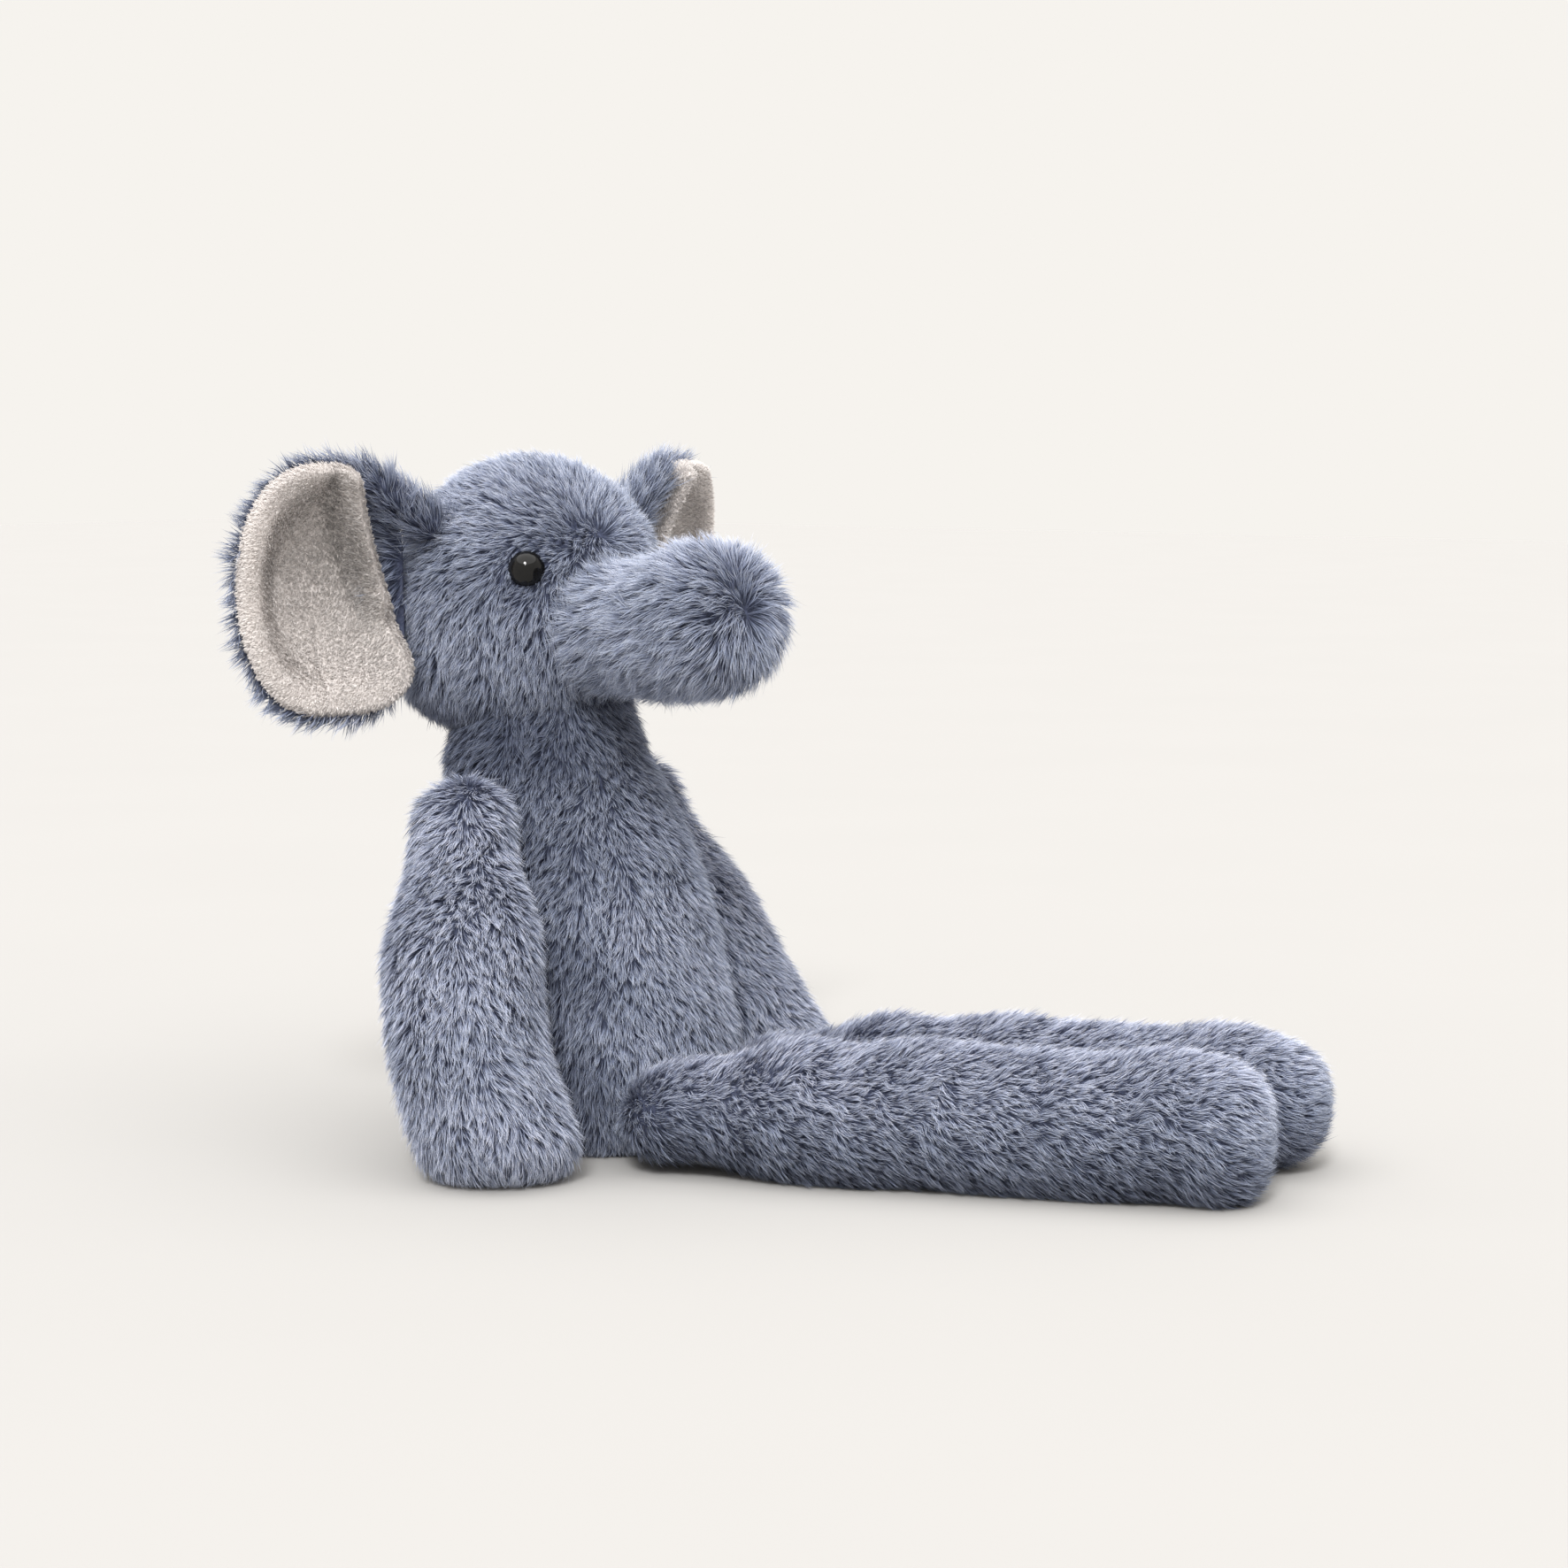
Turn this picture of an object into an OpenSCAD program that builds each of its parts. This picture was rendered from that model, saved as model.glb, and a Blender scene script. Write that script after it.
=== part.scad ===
// Sitting stuffed elephant: fur shells, stuffing, ears with a short velour lining, and glossy eyes.
// The elephant looks along -Y, its left side is +X, and the seat rests on z = 0.

/* [Torso] */
// Radius of the belly at its widest
belly_r = 46; // [43:0.5:48]
// Height of the widest part of the belly, along the torso
belly_h = 38; // [34:1:42]
// How far the torso leans back, in degrees
torso_lean = 11.5; // [9:0.5:13]
// Radius of the rounded top of the torso inside the neck
neck_r = 31; // [29:0.5:31.5]

/* [Head] */
// Radius of the head, seen from above
head_r = 47.5; // [46:0.5:49]
// Half the height of the head
head_half_h = 50.5; // [49:0.5:52]
// How far the head is turned, in degrees, negative towards its right
head_yaw = -11.5; // [-20:0.5:20]
// Diameter of an eye
eye_d = 12.4; // [11:0.2:13]

/* [Trunk] */
// Radius of the trunk along its middle
trunk_r = 24.5; // [22:0.5:25]
// Length of the trunk from its root seam to its tip
trunk_len = 75; // [68:1:80]
// How far the trunk points up, in degrees
trunk_tilt = 5; // [0:1:8]

/* [Ears] */
// Width of an ear from its root to its rim
ear_w = 61; // [56:1:64]
// Height of an ear
ear_h = 90; // [84:1:94]
// How far the ears are swept back, in degrees
ear_sweep = 13; // [8:1:20]

/* [Arms] */
// Length of an arm from its shoulder to the end of the hand
arm_len = 124; // [118:1:126]
// Radius of the hand
hand_r = 26.5; // [24:0.5:27]
// Radius of the arm at the shoulder
arm_root_r = 16; // [15:0.5:17]
// Radius of the arm between the shoulder and the elbow
arm_upper_r = 23; // [20:0.5:24]

/* [Legs] */
// Length of a leg from its hip to the end of the foot
leg_len = 197; // [190:1:204]
// Radius of the leg
leg_r = 24; // [22:0.5:24.5]
// Radius of the leg at the hip
leg_root_r = 19; // [17:0.5:19.5]
// How far both legs are swung, in degrees, positive towards the elephant's left
leg_yaw = 22.5; // [15:0.5:25]

/* [Cloth] */
// Thickness of the fur cloth with its dense pile
cloth = 3; // [2.5:0.1:3.5]
// Thickness of an ear's lining
lining = 2; // [1.6:0.1:2.4]

/* [Hidden] */
$fn = 64;

gap = 0.4;            // clearance between two bodies that turn against each other
skin_gap = 0.15;      // clearance between a shell and what fills it
big = 600;

fur_blue = [0.50, 0.54, 0.63];
velour = [0.74, 0.70, 0.68];
fibre = [0.95, 0.95, 0.93];
glossy_black = [0.03, 0.03, 0.03];

neck = [0, 33.5, 139];                    // the head turns and nods about this point
head_up = 47.5;                          // from the neck to the middle of the head
head_back = 6.5;
shoulder = [50, 27, 113];                // the left shoulder; the right one is its mirror image
hand_end = [84, -13, 0];
hip = [27.7, -47, 22];                   // the left hip
tail_root = [0, 55.5, 36];
tail_len = 38;
tail_root_r = 3.6;
tail_tuft_r = 6;
tail_fall = 142;                         // from straight up, in degrees

torso_below = 12;                        // how far the belly's curve goes on under the floor
torso_top = 134;
trunk_root = [0, -42, -7];               // from the middle of the head
trunk_root_r = 21;
trunk_bend = 15;                         // how far the trunk bends each way, in degrees
trunk_flare = 24;                        // length of the flared room in front of the trunk's root
eye_side = 39.5;                         // an eye's place round the head, from the front
eye_rise = 16.5;
eye_seat = 46.6;                         // from the middle of the head to an eye's flat back
shank_r = 2;
shank_len = 9;
washer_r = 6;
washer_t = 1.4;
ear_root = [49.5, 8, 6];
ear_bead_r = 3.6;                        // the rolled seam that an ear turns on
ear_cup_r = 72;                          // an ear is part of a hollow ball of this radius
ear_back_t = 5;
ear_rim = 5;                             // fur that shows round the lining
ear_bead_half = 17;
pouch_r = 27;
pouch_mid = [0, 6, 15];
pouch_half_h = 9;
pouch_wall = 0.8;
seam_thread_r = 0.8;
seam_down = 2;                           // the neck seam lies this many degrees below the neck's middle
arm_swell = 42;                          // from a shoulder to where the arm has filled out
hand_end_t = 17;                         // the rounded length of the hand's end
leg_swell = 30;
foot_end_t = 20;
trunk_swell = 18;
trunk_end_t = 22;
tail_r = 3;
tail_swell = 8;
tail_end_t = 10;
arm_dir = hand_end - shoulder;
arm_out = atan2(arm_dir[0], norm([arm_dir[1], arm_dir[2]]));
arm_forward = atan2(-arm_dir[1], -arm_dir[2]);

// ---- shapes ----

function mix(a, b, t) = a + (b - a) * t;
function ease(t) = t * t * (3 - 2 * t);
function rounded(c, p) = sign(c) * pow(abs(c), p);      // under 1, p fills out an ellipse's corners

// Radius of the torso at a distance along its own axis.
function torso_radius(s) = s < belly_h
    ? belly_r * pow(max(0, 1 - pow((belly_h - s) / (belly_h + torso_below), 2.4)), 1 / 2.4)
    : neck_r - 1.5 + (belly_r - neck_r + 1.5) * (1 - pow((s - belly_h) / (torso_top - belly_h), 2.6));

module torso_body(inset) {
    low = -torso_below + inset;
    high = torso_top - inset;
    steps = 22;
    rotate([-torso_lean, 0, 0])
        rotate_extrude()
            polygon(concat(
                [[0, low]],
                [for (i = [1 : steps])
                    let (s = mix(low, high, i / steps)) [max(0.5, torso_radius(s) - inset), s]],
                [[0, high]]));
    translate(neck) sphere(r = neck_r - inset);
}

// A stuffed tube along +Z: a round root about the origin, a body that swells from one radius
// to another, and a blunt round end.
function tube_points(len, root_r, mid_r, end_r, swell, end_t, inset) =
    let (r0 = root_r - inset, s_end = len - end_t, bend = root_r * 0.6)
    concat(
        [for (a = [0 : 15 : 90]) [r0 * sin(a), -r0 * cos(a)]],
        [for (i = [1 : 10])
            let (s = mix(bend, s_end, i / 10),
                 t = min(1, (s - bend) / swell),
                 far = (s - bend) / (s_end - bend))
            [mix(root_r, mix(mid_r, end_r, far), ease(t)) - inset, s]],
        [for (a = [15 : 15 : 90])
            [(end_r - inset) * pow(max(0, cos(a)), 0.62), s_end + (end_t - inset) * sin(a)]]);

module tube(len, root_r, mid_r, end_r, swell, end_t, inset) {
    rotate_extrude() polygon(tube_points(len, root_r, mid_r, end_r, swell, end_t, inset));
}

module above(z) {
    translate([-big / 2, -big / 2, z]) cube(big);
}

module egg(inset) {
    rotate_extrude()
        polygon([for (a = [-90 : 7.5 : 90]) [(head_r - inset) * max(0, cos(a)), (head_half_h - inset) * sin(a)]]);
}

// ---- frames ----

module each_side(side) {
    mirror([side < 0 ? 1 : 0, 0, 0]) children();
}

module head_frame() {
    translate(neck) rotate([0, 0, head_yaw]) translate([0, head_back, head_up]) children();
}

module trunk_frame() {
    head_frame() translate(trunk_root) rotate([90 - trunk_tilt, 0, 0]) children();
}

// The room for the trunk's round root, with a flare for the trunk to bend in.
module trunk_socket(grow) {
    r = trunk_root_r + grow;
    wide = (r + gap / 2) * cos(trunk_bend);
    head_frame() translate(trunk_root) {
        sphere(r = r);
        rotate([90, 0, 0]) translate([0, 0, -r * sin(trunk_bend)])
            cylinder(r1 = wide, r2 = wide + trunk_flare * tan(trunk_bend + trunk_tilt / 2), h = trunk_flare);
    }
}

// +Z of an eye's frame points out of the head.
module eye_frame(side) {
    head_frame() each_side(side)
        rotate([0, 0, eye_side]) rotate([90 - eye_rise, 0, 0]) translate([0, 0, eye_seat]) children();
}

// +X of an ear's frame runs from its root to its rim.
module ear_frame(side) {
    head_frame() each_side(side) translate(ear_root) rotate([0, 0, ear_sweep]) children();
}

module arm_frame(side) {
    each_side(side) translate(shoulder)
        rotate([-arm_forward, 0, 0]) rotate([0, -arm_out, 0]) mirror([0, 0, 1]) children();
}

module leg_frame(side) {
    translate([side * hip[0], hip[1], hip[2]]) rotate([0, 0, leg_yaw]) rotate([90, 0, 0]) children();
}

module tail_frame() {
    translate(tail_root) rotate([-tail_fall, 0, 0]) children();
}

// ---- limbs ----

module arm_tube(inset) {
    tube(arm_len, arm_root_r, arm_upper_r, hand_r, arm_swell, hand_end_t, inset);
}

module leg_tube(inset) {
    tube(leg_len, leg_root_r, leg_r, leg_r + 0.5, leg_swell, foot_end_t, inset);
}

module trunk_tube(inset) {
    tube(trunk_len, trunk_root_r, trunk_r + 0.5, trunk_r, trunk_swell, trunk_end_t, inset);
}

// The room that an arm sweeps as it swings about the line through both shoulders.
module arm_sweep(grow) {
    slope = tan(arm_out);
    reach = arm_len * cos(arm_out);
    steps = 12;
    translate(shoulder) rotate([0, 90, 0]) rotate_extrude()
        polygon(concat(
            [[0, -arm_root_r - grow]],
            [for (i = [0 : steps])
                let (d = mix(4, reach, i / steps),
                     r = mix(arm_root_r, mix(arm_upper_r, hand_r, d / reach), ease(min(1, d / arm_swell))))
                [d, min(slope * d - r / cos(arm_out), -sqrt(max(0, pow(arm_root_r, 2) - d * d))) - grow]],
            [[reach, big / 4], [0, big / 4]]));
}

module sockets(grow) {
    for (side = [-1, 1]) {
        each_side(side) arm_sweep(grow);
        leg_frame(side) sphere(r = leg_root_r + grow);
    }
    tail_frame() sphere(r = tail_root_r + grow);
}

// ---- torso ----

module torso_shell() {
    color(fur_blue) difference() {
        torso_body(0);
        translate([0, 0, -big]) above(0);
        sockets(gap);
        neck_ring(gap / 2);
        difference() {
            torso_body(cloth);
            translate([0, 0, -big]) above(cloth);
            sockets(gap + cloth);
        }
    }
}

module pouch(inset) {
    translate(pouch_mid) rotate_extrude()
        polygon(concat([[0, -pouch_half_h + inset]],
            [for (a = [-90 : 15 : 90])
                [pouch_r - pouch_half_h + (pouch_half_h - inset) * cos(a), (pouch_half_h - inset) * sin(a)]],
            [[0, pouch_half_h - inset]]));
}

module seat_pouch() {
    color(fibre) difference() {
        pouch(0);
        pouch(pouch_wall);
    }
}

module seat_pellets() {
    color("ivory") pouch(pouch_wall + skin_gap);
}

module torso_stuffing() {
    color(fibre) difference() {
        torso_body(cloth + skin_gap);
        translate([0, 0, -big]) above(cloth + skin_gap);
        sockets(gap + cloth + skin_gap);
        pouch(-skin_gap);
    }
}

// The thread that closes the neck is drawn into the cloth, flush with the round top of the torso.
module neck_ring(grow) {
    r = neck_r - seam_thread_r;
    translate([neck[0], neck[1], neck[2] - r * sin(seam_down)])
        rotate_extrude() translate([r * cos(seam_down), 0]) circle(r = seam_thread_r + grow, $fn = 24);
}

module neck_seam() {
    color([0.30, 0.33, 0.42]) neck_ring(0);
}

// ---- head ----

module ear_grooves(grow) {
    for (side = [-1, 1])
        ear_frame(side) translate([0, 0, -ear_bead_half - gap]) {
            cylinder(r = ear_bead_r + grow, h = 2 * (ear_bead_half + gap));
        }
}

module head_shell() {
    color(fur_blue) difference() {
        head_frame() egg(0);
        translate(neck) sphere(r = neck_r + gap);
        trunk_socket(gap);
        ear_grooves(gap);
        for (side = [-1, 1]) eye_frame(side) {
            cylinder(r = eye_d / 2 + 0.1, h = 20);
            translate([0, 0, -shank_len]) cylinder(r = shank_r + 0.1, h = shank_len + 1);
        }
        difference() {
            head_frame() egg(cloth);
            translate(neck) sphere(r = neck_r + gap + cloth);
            trunk_socket(gap + cloth);
            ear_grooves(gap + cloth);
        }
    }
}

module head_stuffing() {
    color(fibre) difference() {
        head_frame() egg(cloth + skin_gap);
        translate(neck) sphere(r = neck_r + gap + cloth + skin_gap);
        trunk_socket(gap + cloth + skin_gap);
        ear_grooves(gap + cloth + skin_gap);
        for (side = [-1, 1]) eye_frame(side)
            translate([0, 0, -shank_len - 1]) cylinder(r = washer_r + 0.3, h = 20);
    }
}

module eye(side) {
    color(glossy_black) eye_frame(side) {
        intersection() {
            translate([0, 0, -2]) sphere(r = norm([eye_d / 2, 2]));
            above(0);
        }
        translate([0, 0, -shank_len]) cylinder(r = shank_r, h = shank_len + 1);
    }
}

module eye_washer(side) {
    color("white") eye_frame(side) translate([0, 0, -shank_len + 1.2]) difference() {
        cylinder(r = washer_r, h = washer_t);
        translate([0, 0, -1]) cylinder(r = shank_r + 0.05, h = washer_t + 2);
    }
}

module trunk_shell() {
    color(fur_blue) trunk_frame() difference() {
        trunk_tube(0);
        trunk_tube(cloth);
    }
}

module trunk_stuffing() {
    color(fibre) trunk_frame() trunk_tube(cloth + skin_gap);
}

// ---- ears ----

// An ear's outline, seen from the front: an oval that is fullest low down and beside its root.
module ear_outline(inset) {
    half_w = ear_w / 2 + 2;
    polygon([for (a = [0 : 9 : 351])
        let (p = a < 90 ? 1 : 0.82)
        [ear_w - half_w + (half_w - inset) * rounded(cos(a), p), (ear_h / 2 - inset) * rounded(sin(a), p)]]);
}

// A layer of an ear, between two distances behind the hollow ball that the ear is part of.
module ear_layer(from, to, inset) {
    intersection() {
        rotate([90, 0, 0]) translate([0, 0, -big / 4]) linear_extrude(big / 2) ear_outline(inset);
        translate([ear_w / 2 + 4, -ear_cup_r + 9, 0]) difference() {
            sphere(r = ear_cup_r + to);
            sphere(r = ear_cup_r + from);
        }
        translate([1.5, -20, -big / 4]) cube([big / 4, 60, big / 2]);
    }
}

module ear_back(side) {
    color(fur_blue) ear_frame(side) {
        ear_layer(0, ear_back_t, 0);
        translate([0, 0, -ear_bead_half]) cylinder(r = ear_bead_r, h = 2 * ear_bead_half);
    }
}

module ear_lining(side) {
    color(velour) ear_frame(side) difference() {
        ear_layer(-lining - skin_gap, -skin_gap, ear_rim);
        translate([0, 0, -ear_h]) cylinder(r = ear_bead_r + skin_gap, h = 2 * ear_h);
    }
}

// ---- arms and legs ----

module limb_shell_cut() {
    difference() {
        children(0);
        translate([0, 0, -big]) above(0);
        difference() {
            children(1);
            translate([0, 0, -big]) above(cloth);
        }
    }
}

module limb_stuffing_cut() {
    difference() {
        children();
        translate([0, 0, -big]) above(cloth + skin_gap);
    }
}

module arm_shell(side) {
    color(fur_blue) limb_shell_cut() {
        arm_frame(side) arm_tube(0);
        arm_frame(side) arm_tube(cloth);
    }
}

module arm_stuffing(side) {
    color(fibre) limb_stuffing_cut() arm_frame(side) arm_tube(cloth + skin_gap);
}

module leg_shell(side) {
    color(fur_blue) limb_shell_cut() {
        leg_frame(side) leg_tube(0);
        leg_frame(side) leg_tube(cloth);
    }
}

module leg_stuffing(side) {
    color(fibre) limb_stuffing_cut() leg_frame(side) leg_tube(cloth + skin_gap);
}

module tail() {
    color(fur_blue) tail_frame()
        tube(tail_len, tail_root_r, tail_r, tail_tuft_r, tail_swell, tail_end_t, 0);
}

torso_shell();
torso_stuffing();
seat_pouch();
seat_pellets();
neck_seam();
head_shell();
head_stuffing();
trunk_shell();
trunk_stuffing();
ear_back(-1);  // right_ear_back
ear_lining(-1);  // right_ear_lining
ear_back(1);  // left_ear_back
ear_lining(1);  // left_ear_lining
eye(-1);  // right_eye
eye_washer(-1);  // right_eye_washer
eye(1);  // left_eye
eye_washer(1);  // left_eye_washer
arm_shell(-1);  // right_arm_shell
arm_stuffing(-1);  // right_arm_stuffing
arm_shell(1);  // left_arm_shell
arm_stuffing(1);  // left_arm_stuffing
leg_shell(-1);  // right_leg_shell
leg_stuffing(-1);  // right_leg_stuffing
leg_shell(1);  // left_leg_shell
leg_stuffing(1);  // left_leg_stuffing
tail();
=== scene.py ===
"""Looks of the sitting stuffed elephant: fur, velour ear linings, stuffing, eyes, floor and light.

Shapes are worked out in millimetres, in the same frame as the CAD, and turned to metres when a
mesh is made. The elephant looks along -Y, its left side is +X, and +Z is up.
"""

import math

import bmesh
import bpy
import numpy as np
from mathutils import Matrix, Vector
from mathutils.kdtree import KDTree


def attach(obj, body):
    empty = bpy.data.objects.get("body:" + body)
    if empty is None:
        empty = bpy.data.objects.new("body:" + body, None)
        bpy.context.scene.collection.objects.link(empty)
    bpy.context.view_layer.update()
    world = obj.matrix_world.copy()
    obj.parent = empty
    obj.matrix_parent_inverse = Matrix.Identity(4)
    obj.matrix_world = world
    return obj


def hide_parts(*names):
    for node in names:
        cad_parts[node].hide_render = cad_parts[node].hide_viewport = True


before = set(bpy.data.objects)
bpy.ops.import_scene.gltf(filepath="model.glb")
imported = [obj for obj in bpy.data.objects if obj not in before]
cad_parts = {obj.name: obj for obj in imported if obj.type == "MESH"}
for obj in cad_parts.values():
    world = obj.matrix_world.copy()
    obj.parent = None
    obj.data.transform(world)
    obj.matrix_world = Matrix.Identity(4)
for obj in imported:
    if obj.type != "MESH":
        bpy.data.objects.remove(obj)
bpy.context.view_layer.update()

MM = 0.001
RNG = np.random.default_rng(11)
UV_MAP = "OFBake"      # one map on every piece of fur: across = a hair's tone, up = root to tip

# ---- the object's own measures, in millimetres and degrees ----

BELLY_R, BELLY_H, TORSO_BELOW, TORSO_TOP, TORSO_LEAN = 46.0, 38.0, 12.0, 134.0, 11.5
NECK, NECK_R = np.array([0, 33.5, 139.0]), 31.0
HEAD_R, HEAD_HALF_H, HEAD_YAW, HEAD_UP, HEAD_BACK = 47.5, 50.5, -11.5, 47.5, 6.5
TRUNK_ROOT, TRUNK_TILT = np.array([0, -42.0, -7.0]), 5.0
EYE_SIDE, EYE_RISE, EYE_SEAT, EYE_R = 39.5, 16.5, 46.6, 6.2
EAR_ROOT, EAR_SWEEP, EAR_W, EAR_H = np.array([49.5, 8.0, 6.0]), 13.0, 61.0, 90.0
EAR_CUP_R, EAR_BACK_T, EAR_MID, RIB_PITCH = 72.0, 5.0, 29.5, 1.9
EAR_BALL_OUT, EAR_BALL_Y, LINING_RAISE, LINING_T = 4.0, 9.0 - EAR_CUP_R, 2.6, 1.0
SHOULDER, HAND_END = np.array([50, 27.0, 113.0]), np.array([84, -13.0, 0])
HIP, LEG_YAW = np.array([27.7, -47.0, 22.0]), 22.5
TAIL_ROOT, TAIL_FALL = np.array([0, 55.5, 36.0]), 142.0

# length, root radius, middle radius, end radius, swelling length, length of the round end
ARM = (124.0, 16.0, 23.0, 26.5, 42.0, 17.0)
LEG = (197.0, 19.0, 24.0, 24.5, 30.0, 20.0)
TRUNK = (75.0, 21.0, 25.0, 24.5, 18.0, 22.0)
TAIL = (38.0, 3.6, 3.0, 6.0, 8.0, 10.0)

CLOTH = 3.0            # fur cloth with its dense pile, as the CAD has it
FLOOR_CLEAR = 0.3      # the lowest that a hair reaches
NO_FLOOR = -1e9        # for parts that never reach the floor
OUTSIDE = -50.0        # the depth given to points beyond a part's ends
SIDES = ((-1, "right"), (1, "left"))


def smooth(t):
    t = np.clip(t, 0, 1)
    return t * t * (3 - 2 * t)


def unit(v):
    return v / np.maximum(np.linalg.norm(v, axis=-1, keepdims=True), 1e-9)


# ---- frames: 4 x 4, from a part's own frame to the object's ----


def move(x, y, z):
    m = np.eye(4)
    m[:3, 3] = x, y, z
    return m


def turn(axis, degrees):
    c, s = math.cos(math.radians(degrees)), math.sin(math.radians(degrees))
    m = np.eye(4)
    a, b = {"x": (1, 2), "y": (2, 0), "z": (0, 1)}[axis]
    m[a, a], m[a, b], m[b, a], m[b, b] = c, -s, s, c
    return m


def flip(side):
    return np.diag([-1.0 if side < 0 else 1.0, 1, 1, 1])


def apply(m, p):
    return p @ m[:3, :3].T + m[:3, 3]


def local(m, p):
    return (p - m[:3, 3]) @ np.linalg.inv(m[:3, :3]).T


HEAD_FRAME = move(*NECK) @ turn("z", HEAD_YAW) @ move(0, HEAD_BACK, HEAD_UP)
TRUNK_FRAME = HEAD_FRAME @ move(*TRUNK_ROOT) @ turn("x", 90 - TRUNK_TILT)
TORSO_FRAME = turn("x", -TORSO_LEAN)
TAIL_FRAME = move(*TAIL_ROOT) @ turn("x", -TAIL_FALL)


def arm_frame(side):
    d = HAND_END - SHOULDER
    out = math.degrees(math.atan2(d[0], math.hypot(d[1], d[2])))
    forward = math.degrees(math.atan2(-d[1], -d[2]))
    return (flip(side) @ move(*SHOULDER) @ turn("x", -forward) @ turn("y", -out)
            @ np.diag([1.0, 1, -1, 1]))


def leg_frame(side):
    return move(side * HIP[0], HIP[1], HIP[2]) @ turn("z", LEG_YAW) @ turn("x", 90)


def ear_frame(side):
    return HEAD_FRAME @ flip(side) @ move(*EAR_ROOT) @ turn("z", EAR_SWEEP)


def eye_frame(side):
    return (HEAD_FRAME @ flip(side) @ turn("z", EYE_SIDE) @ turn("x", 90 - EYE_RISE)
            @ move(0, 0, EYE_SEAT))


# ---- outlines that are turned about an axis: rows of (radius, distance along the axis) ----


def evenly(profile, rows):
    """The same outline with its points spread evenly along it."""
    profile = np.array(profile)
    along = np.r_[0, np.cumsum(np.linalg.norm(np.diff(profile, axis=0), axis=1))]
    at = np.linspace(0, along[-1], rows)
    return np.stack([np.interp(at, along, profile[:, i]) for i in (0, 1)], 1)


def tube_outline(spec, inset, rows):
    length, root_r, mid_r, end_r, swell, end_t = spec
    s_end, bend, r0 = length - end_t, root_r * 0.6, root_r - inset
    a = np.radians(np.linspace(2, 90, 14))
    root = np.stack([r0 * np.sin(a), -r0 * np.cos(a)], 1)
    s = np.linspace(bend, s_end, 40)
    far = (s - bend) / (s_end - bend)
    r = root_r + (mid_r + (end_r - mid_r) * far - root_r) * smooth((s - bend) / swell) - inset
    a = np.radians(np.linspace(4, 89.9, 22))
    end = np.stack([(end_r - inset) * np.cos(a) ** 0.62, s_end + (end_t - inset) * np.sin(a)], 1)
    return evenly(np.concatenate([root, np.stack([r, s], 1), end]), rows)


def torso_radius(s):
    low = np.clip((BELLY_H - s) / (BELLY_H + TORSO_BELOW), 0, 1)
    high = np.clip((s - BELLY_H) / (TORSO_TOP - BELLY_H), 0, 1)
    top_r = NECK_R - 1.5
    return np.where(s < BELLY_H, BELLY_R * (1 - low ** 2.4) ** (1 / 2.4),
                    top_r + (BELLY_R - top_r) * (1 - high ** 2.6))


def torso_outline(inset, rows):
    """From the top of the neck down to the middle of the seat."""
    a = np.radians(np.linspace(2, 62, 10))
    neck_up = NECK[2] * math.cos(math.radians(TORSO_LEAN)) + NECK[1] * math.sin(
        math.radians(TORSO_LEAN))
    neck = np.stack([(NECK_R - inset) * np.sin(a), neck_up + (NECK_R - inset) * np.cos(a)], 1)
    s = np.linspace(TORSO_TOP - 6, -TORSO_BELOW + inset + 0.3, 60)
    body = np.stack([np.maximum(torso_radius(s) - inset, 0.4), s], 1)
    return evenly(np.concatenate([neck, body]), rows)


def lathe(profile, m, columns, shape=None):
    """A grid of points (rows from root to tip, columns round the axis), in the object's frame."""
    a = np.linspace(0, 2 * math.pi, columns, endpoint=False)
    r, s = profile[:, 0][:, None], profile[:, 1][:, None]
    p = np.stack([r * np.cos(a), r * np.sin(a), s + 0 * a], -1)
    if shape is not None:
        p = shape(p)
    return apply(m, p)


# ---- surfaces to grow fur on ----


class Skin:
    """A grid of points closed round its columns, with outward normals and root-to-tip directions."""

    def __init__(self, grid, floor=0.0):
        grid = grid.copy()
        grid[..., 2] = np.maximum(grid[..., 2], floor)
        self.p = grid
        du = np.gradient(grid, axis=0)
        dv = (np.roll(grid, -1, 1) - np.roll(grid, 1, 1)) / 2
        n = unit(np.cross(dv, du))
        out = grid - grid.mean(1, keepdims=True)
        if (n * out).sum() < 0:
            n = -n
        self.n, self.along = n, unit(du)
        self.area = np.linalg.norm(np.cross(du, dv), axis=-1)

    def scatter(self, per_mm2, rng):
        """Random places on the surface: points, normals and root-to-tip directions."""
        columns = self.area.shape[1]
        cell = (self.area[:-1] + self.area[1:]) / 2
        count = int(cell.sum() * per_mm2)
        pick = rng.choice(cell.size, count, p=(cell / cell.sum()).ravel())
        i, j = pick // columns, pick % columns
        a, b = rng.random(count)[:, None], rng.random(count)[:, None]
        k = (j + 1) % columns

        def at(g):
            return (g[i, j] * (1 - a) + g[i + 1, j] * a) * (1 - b) + (
                g[i, k] * (1 - a) + g[i + 1, k] * a) * b

        return at(self.p), unit(at(self.n)), unit(at(self.along))


def flat_on(n, d):
    """d laid into the surface whose normals are n."""
    return unit(d - (d * n).sum(-1, keepdims=True) * n)


def lumps(p, size, seed):
    """Soft random waves through space, about -1 to 1, with bumps about that size."""
    rng = np.random.default_rng(seed)
    total = np.zeros(len(p))
    for _ in range(6):
        k = unit(rng.normal(size=3)) * 2 * math.pi / (size * rng.uniform(0.7, 1.5))
        total += np.sin(p @ k + rng.uniform(0, 2 * math.pi))
    return total / 2.6


# ---- insides of the parts, to leave out fur that nothing can show ----


ROOT_REACH = 30.0      # a limb's fur can be hidden for good only this near its root
CLOSE, DEEP = 2.5, 10.0


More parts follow.
